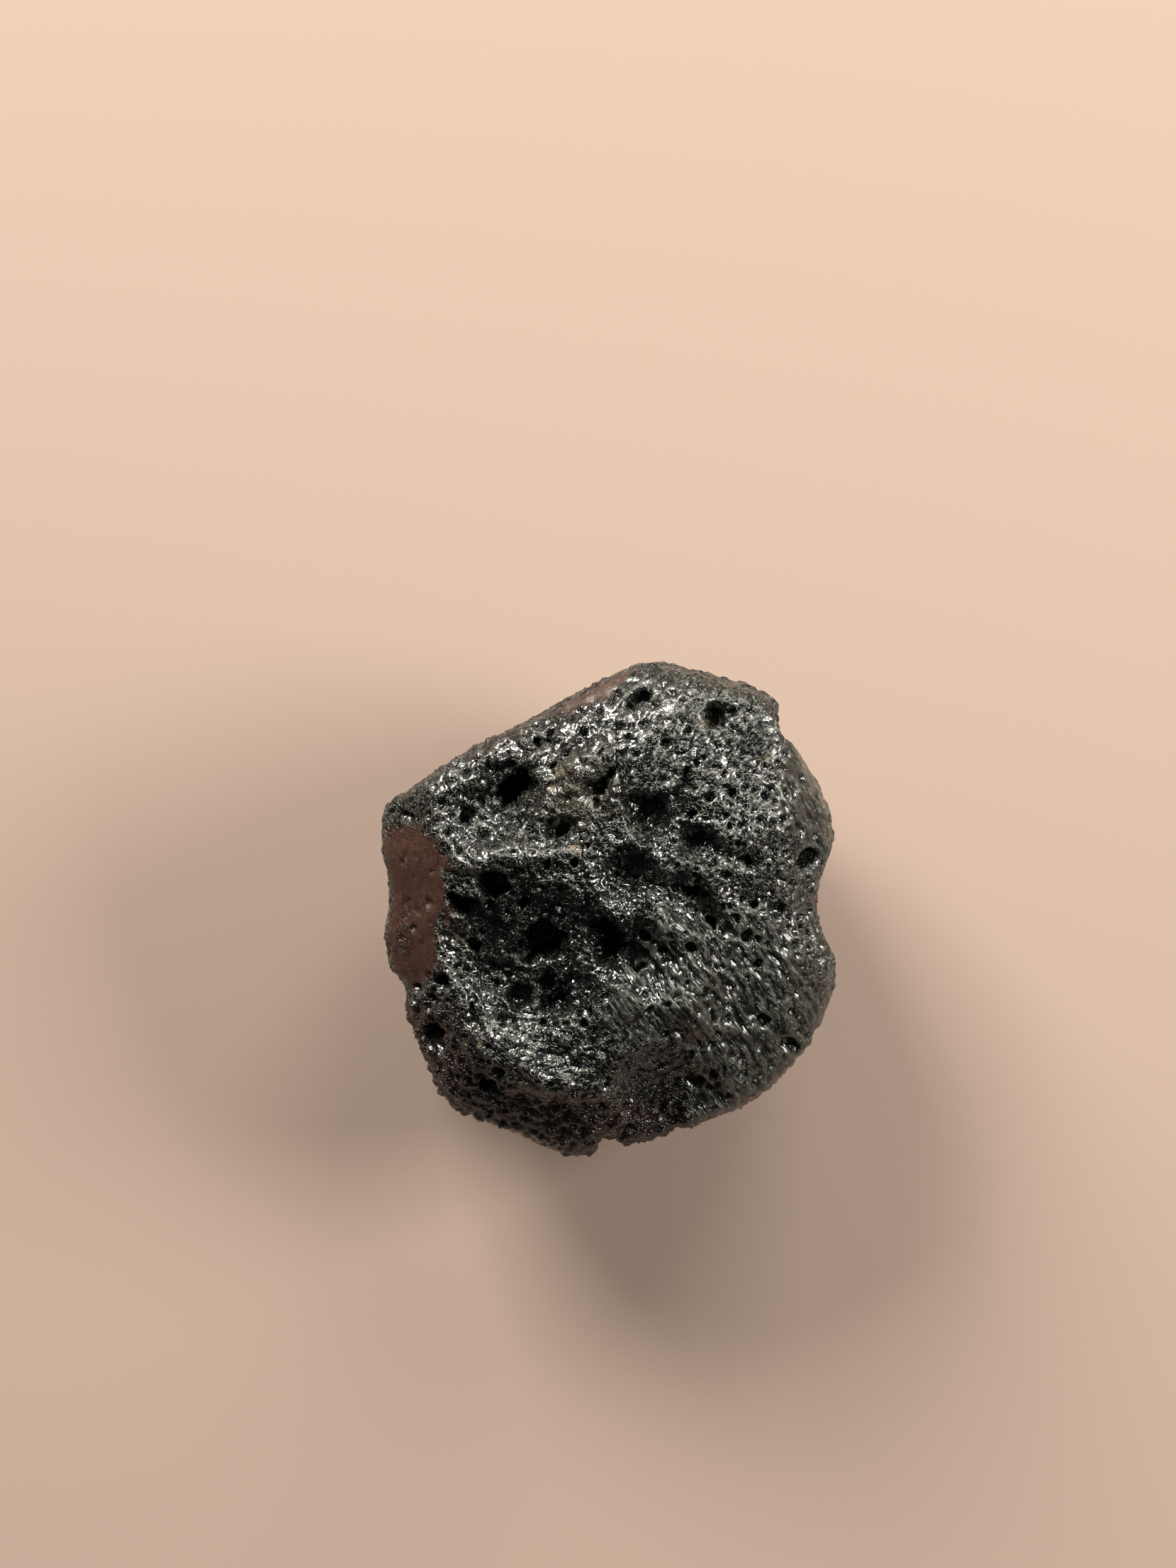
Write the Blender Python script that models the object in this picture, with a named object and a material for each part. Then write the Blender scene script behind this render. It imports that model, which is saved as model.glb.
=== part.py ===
"""Tektite: one natural lump of black glass, broken into uneven faces, etched into hollows and pits.

Lengths below are in millimetres and angles in degrees. The mesh is made in metres, +Z up, and rests on its
flat break at z = 0. The origin lies under the middle of the lump. The face with the deep hollow and the
plateau looks up; the bare glass face looks to -X.
"""

import math

import bmesh
import bpy
import numpy as np

MM = 0.001

# Overall size of the lump
WIDTH = 13.9
LENGTH = 15.15
HEIGHT = 10.4

# The lump is star-shaped about this point: every part of its skin is seen from there
MIDDLE = np.array([0.0, 0.0, 5.6])
# Where two breaks meet, a higher power leaves a sharper edge
EDGE_POWER = 50

# The breaks around the lump. Each has an upright band at the girth, with a face leaning in above it and one below.
# Columns: compass heading (0 is +X, 90 is +Y), reach of the band from the middle, height of its foot, height of
# its top, lean of the face above it, lean of the face below it
SIDES = [
    (-1.0, 7.00, 3.0, 6.0, 6, -24),
    (-20.0, 7.43, 3.5, 5.8, 7, -30),
    (-38.0, 7.56, 3.4, 5.8, 7, -38),
    (-57.0, 7.53, 2.3, 5.4, 9, -44),
    (-76.0, 7.17, 3.2, 6.4, 42, -30),
    (-113.0, 7.49, 3.4, 6.2, 45, -46),
    (-158.0, 6.80, 2.4, 6.5, 44, -30),
    (182.0, 6.81, 3.3, 7.0, 44, -38),
    (150.0, 7.69, 2.9, 7.9, 8, -26),
    (121.0, 6.32, 3.9, 8.0, 8, -40),
    (115.0, 6.40, 3.3, 8.2, 44, -22),
    (74.0, 7.88, 4.2, 7.6, 6, -42),
    (50.0, 8.82, 3.8, 6.8, 5, -34),
    (25.0, 7.54, 2.6, 5.6, 6, -34),
]

# Breaks that take the corners off the unseen flanks. Columns: heading, elevation, distance from the middle
UNDER_BREAKS = [
    (12.0, -40, 6.6),
    (68.0, -28, 7.6),
    (138.0, -52, 6.0),
    (206.0, -44, 6.4),
    (262.0, -30, 7.3),
    (318.0, -56, 6.2),
]

# The breaks on top. Columns: a point on the face (x, y, z), heading it falls towards, tilt from level
TOPS = [
    (2.5, 4.0, 9.9, 30, 14),
    (3.0, -1.5, 9.0, -38, 26),
    (5.0, -4.0, 7.4, -42, 46),
    (5.4, -0.8, 8.3, -14, 44),
    (5.35, 3.6, 9.3, 12, 52),
    (3.0, 6.75, 9.4, 68, 50),
    (-2.5, -1.5, 9.2, 200, 8),
    (-2.6, 4.2, 9.2, 128, 25),
    (-1.0, -5.0, 8.5, -95, 26),
    (1.7, -4.6, 8.45, -78, 42),
]
# Two faces meet over this height, so their edge is a little round
TOP_EDGE = 0.12

# Height above which the skin counts as the top, and height from which the top is etched down, more and more up to
# the middle
TOP_FROM = 3.6
ETCHED_FROM = 4.6

# Hollows etched down into the top. Columns: deepest point (x, y), reach of the oval rim to its right, up, left
# and down, turn of the oval, depth, steepness of the wall (below 1 is steep at the rim, above 1 is shallow)
HOLLOWS = [
    (-2.2, -1.8, 2.9, 2.7, 4.3, 3.5, 2, 1.15, 0.8),
    (-4.1, -0.6, 1.3, 1.2, 1.6, 1.6, 2, 0.35, 1.0),
    (-2.2, -2.6, 2.2, 1.6, 2.4, 1.5, 0, 0.3, 1.0),
    (-3.7, -2.0, 1.0, 0.7, 1.0, 0.8, 20, 0.30, 1.0),
    (-0.9, -2.6, 0.9, 0.6, 0.9, 0.7, 25, 0.3, 1.0),
    (0.05, -0.85, 0.6, 0.9, 0.6, 0.9, 35, 0.6, 0.9),
    (0.6, -1.1, 2.6, 1.0, 0.8, 1.1, -38, 0.7, 1.0),
    (-3.1, 3.3, 1.5, 1.3, 2.5, 1.3, 22, 0.9, 1.2),
    (-2.75, 3.85, 0.65, 0.45, 0.75, 0.7, 25, 1.0, 0.8),
    (-2.1, 5.05, 0.35, 0.25, 0.4, 0.3, 30, 0.4, 0.9),
    (1.9, 2.9, 1.7, 1.1, 1.5, 1.3, 0, 0.35, 1.3),
    (0.95, 2.8, 0.85, 0.9, 0.75, 0.95, 25, 0.7, 1.1),
    (2.7, 1.9, 0.9, 0.75, 0.85, 0.85, -32, 0.8, 1.1),
    (0.5, 1.0, 1.2, 1.0, 1.1, 1.0, 0, 0.75, 1.1),
    (2.3, 0.2, 2.0, 0.7, 1.6, 0.8, -32, 0.65, 1.1),
    (4.3, 0.6, 1.5, 0.5, 1.5, 0.5, -15, 0.25, 1.3),
    (3.9, 1.6, 0.8, 0.5, 0.9, 0.5, -20, 0.25, 1.2),
    (-1.4, 2.6, 0.7, 0.45, 0.6, 0.5, 30, 0.5, 1.2),
    (-0.1, 3.9, 0.9, 0.35, 0.9, 0.4, 35, 0.4, 1.2),
    (0.4, 6.3, 1.5, 0.6, 1.6, 0.7, 12, 0.2, 1.2),
    (0.95, 6.5, 0.6, 0.3, 0.55, 0.3, 22, 0.3, 0.9),
    (3.5, -2.9, 0.9, 0.5, 0.9, 0.5, -50, 0.25, 1.2),
    (-4.75, -4.1, 0.55, 1.2, 0.6, 1.3, 15, 0.6, 1.0),
    (1.5, -5.2, 2.2, 1.3, 1.6, 1.7, -8, 0.7, 0.9),
]

# Ridges and knobs left standing between the hollows, in the same columns, with a height in place of the depth
RIDGES = [
    (-3.0, 1.6, 2.4, 0.6, 2.2, 0.45, 2, 0.35, 1.2),
    (-0.5, 4.6, 1.2, 0.7, 1.2, 0.8, 50, 0.3, 1.2),
    (-1.9, -5.3, 2.0, 0.8, 1.9, 0.6, -4, 0.45, 1.2),
    (2.6, -2.8, 1.5, 1.2, 1.7, 1.0, -28, 0.6, 1.0),
]

# Chips and steps in the outline. Columns: middle of the chip (x, y, z), heading it faces, half of its width,
# half of its height, depth, steepness of the wall
CHIPS = [
    (5.75, 5.6, 5.5, 8, 0.75, 3.5, 0.4, 0.7),
    (6.9, 0.35, 4.8, 0, 1.9, 4.8, 0.68, 1.2),
    (0.0, -7.4, 5.3, -90, 0.6, 1.7, 0.55, 1.0),
    (2.1, -7.2, 5.3, -75, 0.4, 1.7, 0.14, 1.0),
    (-6.5, -2.5, 5.6, 200, 0.6, 2.4, 0.22, 1.0),
    (-2.35, 6.3, 5.2, 112, 0.5, 1.4, 0.18, 1.0),
    (-6.95, 0.5, 5.8, 180, 1.3, 2.8, 0.25, 1.0),
]

# Round pits in the top, left by gas bubbles. Columns: place (x, y), radius, depth
TOP_PITS = [
    (-2.05, -1.0, 0.72, 0.95),
    (-2.7, 3.85, 0.36, 0.45),
    (-3.5, 0.8, 0.50, 0.80),
    (-4.3, 0.15, 0.50, 0.75),
    (0.0, -0.5, 0.45, 0.60),
    (0.2, -0.95, 0.48, 0.60),
    (0.6, -1.4, 0.38, 0.50),
    (3.2, 6.0, 0.45, 0.60),
    (6.0, 1.5, 0.42, 0.80),
    (-1.6, -2.8, 0.42, 0.50),
    (-2.7, -2.65, 0.46, 0.50),
    (-5.25, -3.85, 0.50, 0.45),
    (-3.65, -5.5, 0.35, 0.30),
    (-4.1, -3.4, 0.28, 0.30),
    (-2.0, 5.1, 0.30, 0.35),
    (2.3, 3.95, 0.28, 0.35),
    (5.1, 0.0, 0.28, 0.30),
    (5.4, -4.2, 0.30, 0.25),
    (4.7, -3.4, 0.24, 0.25),
    (2.6, -5.3, 0.36, 0.20),
]

# Shallow scoops in the flanks. Columns: heading and elevation from the middle, radius, depth
FLANK_SCOOPS = [
    (-20.0, -24, 1.9, 0.45),
    (52.0, -12, 2.1, 0.55),
    (84.0, -40, 1.6, 0.50),
    (118.0, -10, 1.5, 0.40),
    (160.0, -34, 2.2, 0.55),
    (214.0, -14, 1.7, 0.45),
    (248.0, -42, 1.9, 0.50),
    (290.0, -18, 1.6, 0.50),
    (322.0, -40, 1.5, 0.40),
]
SCOOP_STEEPNESS = 1.3

# Pits on the flanks and underside, spread evenly by the golden angle, with sizes that run by the golden ratio
FLANK_PITS = 44
FLANK_PIT_HIGHEST = 12
FLANK_PIT_LOWEST = -58
FLANK_PIT_SMALLEST = 0.24
FLANK_PIT_SPREAD = 0.6
# Depth of such a pit, as a share of its radius
FLANK_PIT_DEPTH = 0.8
GOLDEN_ANGLE = 137.508
GOLDEN_RATIO = 1.618034
# Steepness of a pit's wall, as for the hollows
PIT_STEEPNESS = 0.7
# A pit takes in the skin up to this many radii above and below its seat
PIT_GRASP = 1.5
# How far a pit's rim strays from a circle, as a share of its area, and over what length it does
PIT_UNEVENNESS = 0.7
PIT_UNEVENNESS_SIZE = 0.4

# The etched skin swells and sinks gently: size of the swells and how far they rise
SWELLS = [(2.6, 0.10), (1.3, 0.05)]
# The hollows' rims wander off their ovals: size of the bends and how far they stray
RIM_BENDS = [(1.4, 0.28), (0.5, 0.10)]
SPHERE_SUBDIVISIONS = 7
FACETS = 9000
BASE_CUTTER_SIDE = 30.0
# How far the lump is sunk before the flat break at its foot is cut
BASE_SINK = 0.3

GLASS_COLOUR = "#1b1b19"
GLASS_ROUGHNESS = 0.42


def heading(azimuth, elevation):
    """Unit vector towards a compass heading and an elevation."""
    a = math.radians(azimuth)
    e = math.radians(elevation)
    return np.array([math.cos(a) * math.cos(e), math.sin(a) * math.cos(e), math.sin(e)])


def unit(vectors):
    """The same vectors at length 1."""
    return vectors / np.linalg.norm(vectors, axis=-1, keepdims=True)


def smooth_step(low, high, value):
    """0 below low, 1 above high, and an S-curve between them."""
    t = np.clip((value - low) / (high - low), 0, 1)
    return t * t * (3 - 2 * t)


def breaks():
    """Outward normal of each flat break, and its distance from the middle."""
    faces = []
    for azimuth, reach, foot, top, lean_above, lean_below in SIDES:
        band = heading(azimuth, 0) * reach
        faces.append((heading(azimuth, 0), band))
        faces.append((heading(azimuth, lean_above), band + np.array([0, 0, top])))
        faces.append((heading(azimuth, lean_below), band + np.array([0, 0, foot])))
    for x, y, z, azimuth, tilt in TOPS:
        faces.append((heading(azimuth, 90 - tilt), np.array([x, y, z])))
    for azimuth, elevation, distance in UNDER_BREAKS:
        normal = heading(azimuth, elevation)
        faces.append((normal, MIDDLE + normal * distance))
    faces.append((np.array([0, 0, -1]), np.array([0, 0, -BASE_SINK])))
    normals = np.array([normal for normal, _ in faces])
    distances = np.array([(point - MIDDLE) @ normal for normal, point in faces])
    return normals, distances


def broken_lump(directions):
    """Skin points of the lump before etching, one along each direction from the middle.

    Each break alone would put the skin at distance / (normal . direction). The lump is where all the breaks
    meet: the nearest of them wins, and a power mean rounds the edge between two.
    """
    normals, distances = breaks()
    nearness = np.maximum(directions @ normals.T, 0) / distances
    radius = (nearness**EDGE_POWER).sum(axis=1) ** (-1 / EDGE_POWER)
    return MIDDLE + directions * radius[:, None]


def skin_normals(points, triangles):
    """Outward unit normal at each point, averaged over the triangles around it."""
    a, b, c = (points[triangles[:, corner]] for corner in range(3))
    face = np.cross(b - a, c - a)
    corners = triangles.reshape(-1)
    total = [np.bincount(corners, np.repeat(face[:, axis], 3), len(points)) for axis in range(3)]
    return unit(np.stack(total, axis=-1))


def lattice_value(cells, seed):
    """A fixed number from 0 to 1 for each cell (i, j, k) of a cubic lattice."""
    mix = cells @ np.array([73856093, 19349663, 83492791]) + seed * 2654435761
    mix = ((mix ^ (mix >> 13)) * 1274126177) & 0xFFFFFFFF
    mix = ((mix ^ (mix >> 16)) * 2246822519) & 0xFFFFFFFF
    return ((mix ^ (mix >> 15)) & 0xFFFFFF) / 0xFFFFFF


def noise(points, size, seed):
    """Gentle random swells from -1 to 1: lattice values about one size apart, blended smoothly."""
    place = points / size
    corner = np.floor(place).astype(np.int64)
    share = place - corner
    share = share**3 * (share * (share * 6 - 15) + 10)
    total = np.zeros(len(points))
    for offset in np.ndindex(2, 2, 2):
        weight = np.where(offset, share, 1 - share).prod(axis=1)
        total += weight * lattice_value(corner + np.array(offset), seed)
    return 2 * total - 1


def swells(points):
    """Gentle rise and fall of the etched skin."""
    return sum(rise * noise(points, size, 11 + n) for n, (size, rise) in enumerate(SWELLS))


def oval(x, y, feature):
    """Share of a hollow's depth at plan points: 1 at its deepest point, 0 on its rim and beyond."""
    middle_x, middle_y, right, up, left, down, turn, _, steepness = feature
    angle = math.radians(turn)
    across = (x - middle_x) * math.cos(angle) + (y - middle_y) * math.sin(angle)
    along = (y - middle_y) * math.cos(angle) - (x - middle_x) * math.sin(angle)
    reach_across = np.where(across > 0, right, left)
    reach_along = np.where(along > 0, up, down)
    spent = (across / reach_across) ** 2 + (along / reach_along) ** 2
    return np.maximum(1 - spent, 0) ** steepness


def chipped(points, chip):
    """Points after a chip is knocked out of the outline, pushed straight in from the way it faces."""
    x, y, z, azimuth, half_width, half_height, depth, steepness = chip
    outward = heading(azimuth, 0)
    sideways = heading(azimuth + 90, 0)
    offset = points - np.array([x, y, z])
    spent = (offset @ sideways / half_width) ** 2 + (offset[:, 2] / half_height) ** 2
    push = np.maximum(1 - spent, 0) ** steepness * depth
    on_this_side = points @ outward > 0
    return points - np.outer(push * on_this_side, outward)


def lower_of(a, b, blend):
    """The lower of two heights, rounded over where they are within the blend of each other."""
    share = np.clip(0.5 + 0.5 * (b - a) / blend, 0, 1)
    return b + (a - b) * share - blend * share * (1 - share)


def top_height(x, y):
    """Height of the top breaks at plan points, before etching."""
    faces = []
    for point_x, point_y, point_z, azimuth, tilt in TOPS:
        fall = heading(azimuth, 0) * math.tan(math.radians(tilt))
        faces.append(point_z - (x - point_x) * fall[0] - (y - point_y) * fall[1])
    height = faces[0]
    for face in faces[1:]:
        height = lower_of(height, face, TOP_EDGE)
    return height


def hollowed(points):
    """Points after the hollows are etched down into the top, with the ridges left standing.

    A point keeps its place in plan. It drops to the etched top where it stands above it, so the upright
    breaks around the top stay flat up to the new edge.
    """
    x = points[:, 0] + sum(stray * noise(points, size, 21 + n) for n, (size, stray) in enumerate(RIM_BENDS))
    y = points[:, 1] + sum(stray * noise(points, size, 31 + n) for n, (size, stray) in enumerate(RIM_BENDS))
    drop = sum(hollow[7] * oval(x, y, hollow) for hollow in HOLLOWS)
    rise = sum(ridge[7] * oval(x, y, ridge) for ridge in RIDGES)
    top = top_height(points[:, 0], points[:, 1]) + swells(points)
    over = smooth_step(ETCHED_FROM, MIDDLE[2], points[:, 2])
    height = lower_of(points[:, 2] + rise * over, top - drop + rise, TOP_EDGE)
    return np.column_stack([points[:, :2], points[:, 2] + (height - points[:, 2]) * over])


def pitted(points, triangles, uneven, seat, radius, depth, steepness=PIT_STEEPNESS):
    """Points after a pit is sunk into the skin at one of them, its rim made a little uneven."""
    axis = skin_normals(points, triangles)[seat]
    offset = points - points[seat]
    along_axis = offset @ axis
    spent = ((offset**2).sum(axis=1) - along_axis**2) / radius**2 * (1 + uneven)
    near = np.abs(along_axis) < PIT_GRASP * radius
    drop = np.where(near, np.maximum(1 - spent, 0) ** steepness, 0) * depth
    return points - np.outer(drop, axis)


def top_seat(points, x, y):
    """The skin point that is nearest to a place in plan, on the upper half."""
    below = points[:, 2] < TOP_FROM
    return int(np.argmin(np.hypot(points[:, 0] - x, points[:, 1] - y) + below * LENGTH))


def flank_pits():
    """Direction from the middle, radius and depth of each pit on the flanks and underside."""
    low = math.sin(math.radians(FLANK_PIT_LOWEST))
    high = math.sin(math.radians(FLANK_PIT_HIGHEST))
    for n in range(FLANK_PITS):
        elevation = math.degrees(math.asin(high + (low - high) * (n + 0.5) / FLANK_PITS))
        radius = FLANK_PIT_SMALLEST + FLANK_PIT_SPREAD * (n * GOLDEN_RATIO % 1) ** 2
        yield heading(n * GOLDEN_ANGLE, elevation), radius, FLANK_PIT_DEPTH * radius


def seat_along(points, direction):
    """The skin point that lies along a direction from the middle."""
    return int(np.argmax(unit(points - MIDDLE) @ direction))


def etched_lump(directions, triangles):
    """Skin points of the finished lump, at its overall size, resting at z = 0."""
    points = broken_lump(directions)
    normals = skin_normals(points, triangles)
    points = points + normals * swells(points)[:, None]
    for chip in CHIPS:
        points = chipped(points, chip)
    points = hollowed(points)
    uneven = PIT_UNEVENNESS * noise(points, PIT_UNEVENNESS_SIZE, 41)
    for x, y, radius, depth in TOP_PITS:
        points = pitted(points, triangles, uneven, top_seat(points, x, y), radius, depth)
    for azimuth, elevation, radius, depth in FLANK_SCOOPS:
        seat = seat_along(points, heading(azimuth, elevation))
        points = pitted(points, triangles, uneven, seat, radius, depth, SCOOP_STEEPNESS)
    for direction, radius, depth in flank_pits():
        points = pitted(points, triangles, uneven, seat_along(points, direction), radius, depth)
    return fitted(points)


def fitted(points):
    """Points scaled along each axis, by a hair, to the lump's width, length and height above the break."""
    size = np.array([WIDTH, LENGTH, HEIGHT])
    low = points.min(axis=0)
    high = points.max(axis=0)
    low[2] = 0.0
    centre = (low + high) / 2
    centre[2] = 0.0
    return (points - centre) * size / (high - low)


def srgb_to_linear(code):
    """Linear colour of an sRGB hex code."""
    channels = [int(code[i : i + 2], 16) / 255 for i in (1, 3, 5)]
    linear = [c / 12.92 if c <= 0.04045 else ((c + 0.055) / 1.055) ** 2.4 for c in channels]
    return (*linear, 1.0)


def tektite_glass():
    """Black glass with an etched, satin skin."""
    material = bpy.data.materials.new("tektite_glass")
    material.use_nodes = True
    shader = material.node_tree.nodes["Principled BSDF"]
    shader.inputs["Base Color"].default_value = srgb_to_linear(GLASS_COLOUR)
    shader.inputs["Roughness"].default_value = GLASS_ROUGHNESS
    shader.inputs["Metallic"].default_value = 0.0
    return material


def base_cutter(collection):
    """A block whose top face is the flat break that the lump rests on."""
    mesh = bpy.data.meshes.new("base_cutter")
    bm = bmesh.new()
    bmesh.ops.create_cube(bm, size=BASE_CUTTER_SIDE * MM)
    bmesh.ops.translate(bm, verts=bm.verts, vec=(0, 0, -BASE_CUTTER_SIDE * MM / 2))
    bm.to_mesh(mesh)
    bm.free()
    cutter = bpy.data.objects.new("base_cutter", mesh)
    cutter.hide_render = True
    cutter.display_type = "WIRE"
    collection.objects.link(cutter)
    return cutter


def tektite(collection, cutter):
    """The lump: a ball whose skin is pushed in to the breaks, etched, faceted and cut flat at its foot."""
    mesh = bpy.data.meshes.new("tektite_stone")
    bm = bmesh.new()
    bmesh.ops.create_icosphere(bm, subdivisions=SPHERE_SUBDIVISIONS, radius=1.0)
    bm.verts.ensure_lookup_table()
    directions = unit(np.array([vert.co for vert in bm.verts]))
    triangles = np.array([[vert.index for vert in face.verts] for face in bm.faces])
    for vert, point in zip(bm.verts, etched_lump(directions, triangles)):
        vert.co = point * MM
    bm.to_mesh(mesh)
    bm.free()
    stone = bpy.data.objects.new("tektite_stone", mesh)
    mesh.materials.append(tektite_glass())
    collection.objects.link(stone)
    facets = stone.modifiers.new("facets", "DECIMATE")
    facets.ratio = FACETS / len(triangles)
    flat_break = stone.modifiers.new("flat_break", "BOOLEAN")
    flat_break.operation = "DIFFERENCE"
    flat_break.object = cutter
    return stone


def new_collection(name):
    """A collection in the scene."""
    collection = bpy.data.collections.new(name)
    bpy.context.scene.collection.children.link(collection)
    return collection


def main():
    for old in list(bpy.data.objects):
        bpy.data.objects.remove(old)
    tektite(new_collection("tektite"), base_cutter(new_collection("cutters")))


main()
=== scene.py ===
"""Tektite on a plain pale floor: a lump of black natural glass with an etched skin, seen from above.

Lengths are in millimetres and angles in degrees. The stone rests on z = 0. Its points are worked out in
millimetres and turned to metres when they become a mesh.
"""

import math

import bpy
import numpy as np
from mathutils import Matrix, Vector


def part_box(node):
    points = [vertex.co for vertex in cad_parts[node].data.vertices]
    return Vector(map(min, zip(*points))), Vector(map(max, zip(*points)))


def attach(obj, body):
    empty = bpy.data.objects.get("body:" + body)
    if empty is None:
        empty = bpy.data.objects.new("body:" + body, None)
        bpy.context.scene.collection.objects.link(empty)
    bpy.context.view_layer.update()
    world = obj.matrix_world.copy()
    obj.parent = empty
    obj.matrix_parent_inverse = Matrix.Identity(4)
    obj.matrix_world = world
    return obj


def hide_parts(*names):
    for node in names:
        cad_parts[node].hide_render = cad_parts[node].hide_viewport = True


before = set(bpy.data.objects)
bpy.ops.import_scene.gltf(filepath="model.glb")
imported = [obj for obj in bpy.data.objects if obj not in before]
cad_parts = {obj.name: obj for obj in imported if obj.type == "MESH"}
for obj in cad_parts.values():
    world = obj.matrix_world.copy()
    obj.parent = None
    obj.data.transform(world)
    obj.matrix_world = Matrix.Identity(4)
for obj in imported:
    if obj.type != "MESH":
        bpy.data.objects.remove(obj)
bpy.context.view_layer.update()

MM = 0.001

# Corners of the lump's box, read from its solid, and its longest side
LOW, HIGH = (np.array(corner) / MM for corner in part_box("tektite_stone"))
LENGTH = (HIGH - LOW).max()

# The photograph: its size in pixels, the pixel over the stone's middle, and how many pixels a millimetre
# takes at the height of the stone's girth
PHOTO_WIDTH = 1659
PHOTO_HEIGHT = 2212
STONE_PIXEL = (858.5, 1282.0)
PIXELS_PER_MM = 45.79
GIRTH_HEIGHT = 4.2
# The camera looks straight down from this height. The middle of the photograph is under it.
CAMERA_HEIGHT = 154.4
CAMERA_X = (PHOTO_WIDTH / 2 - STONE_PIXEL[0]) / PIXELS_PER_MM
CAMERA_Y = (STONE_PIXEL[1] - PHOTO_HEIGHT / 2) / PIXELS_PER_MM
SENSOR = 36.0
CLIP_START = 10.0

# The lump is star-shaped about this point: every part of its skin is seen from there
MIDDLE = np.array([0.0, 0.0, 5.6])
# Where two breaks meet, a higher power leaves a sharper edge
EDGE_POWER = 50

# The breaks around the lump. Each has an upright band at the girth, a face that leans in above it and one
# below it. Columns: compass heading (0 is +X, 90 is +Y), reach of the band from the middle, height of its
# foot, height of its top, lean of the face above it, lean of the face below it
SIDES = [
    (-1.0, 7.00, 3.0, 6.0, 6, -24),
    (-20.0, 7.43, 3.5, 5.8, 7, -30),
    (-38.0, 7.56, 3.4, 5.8, 7, -38),
    (-57.0, 7.53, 2.3, 5.4, 9, -44),
    (-76.0, 7.17, 3.2, 6.4, 42, -30),
    (-113.0, 7.49, 3.4, 6.2, 45, -46),
    (-158.0, 6.80, 2.4, 6.5, 44, -30),
    (182.0, 6.81, 3.3, 7.0, 44, -38),
    (150.0, 7.69, 2.9, 7.9, 8, -26),
    (121.0, 6.32, 3.9, 8.0, 8, -40),
    (115.0, 6.40, 3.3, 8.2, 44, -22),
    (74.0, 7.88, 4.2, 7.6, 6, -42),
    (50.0, 8.82, 3.8, 6.8, 5, -34),
    (25.0, 7.54, 2.6, 5.6, 6, -34),
]

# Breaks that take the corners off the unseen flanks. Columns: heading, elevation, distance from the middle
UNDER_BREAKS = [
    (12.0, -40, 6.6),
    (68.0, -28, 7.6),
    (138.0, -52, 6.0),
    (206.0, -44, 6.4),
    (262.0, -30, 7.3),
    (318.0, -56, 6.2),
]

# The breaks on top. Columns: a point on the face (x, y, z), heading it falls towards, tilt from level
TOPS = [
    (2.5, 4.0, 9.9, 30, 14),
    (3.0, -1.5, 9.0, -38, 26),
    (5.0, -4.0, 7.4, -42, 46),
    (5.4, -0.8, 8.3, -14, 44),
    (5.35, 3.6, 9.3, 12, 52),
    (3.0, 6.75, 9.4, 68, 50),
    (-2.5, -1.5, 9.2, 200, 8),
    (-2.6, 4.2, 9.2, 128, 25),
    (-1.0, -5.0, 8.5, -95, 26),
    (1.7, -4.6, 8.45, -78, 42),
]
# Two faces meet over this height, so their edge is a little round
TOP_EDGE = 0.12
# How far the lump is sunk before its foot is cut flat
BASE_SINK = 0.3

# Height above which the skin counts as the top, and height from which the top is etched down, more and more
# up to the height of the middle
TOP_FROM = 3.6
ETCHED_FROM = 4.6

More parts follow.
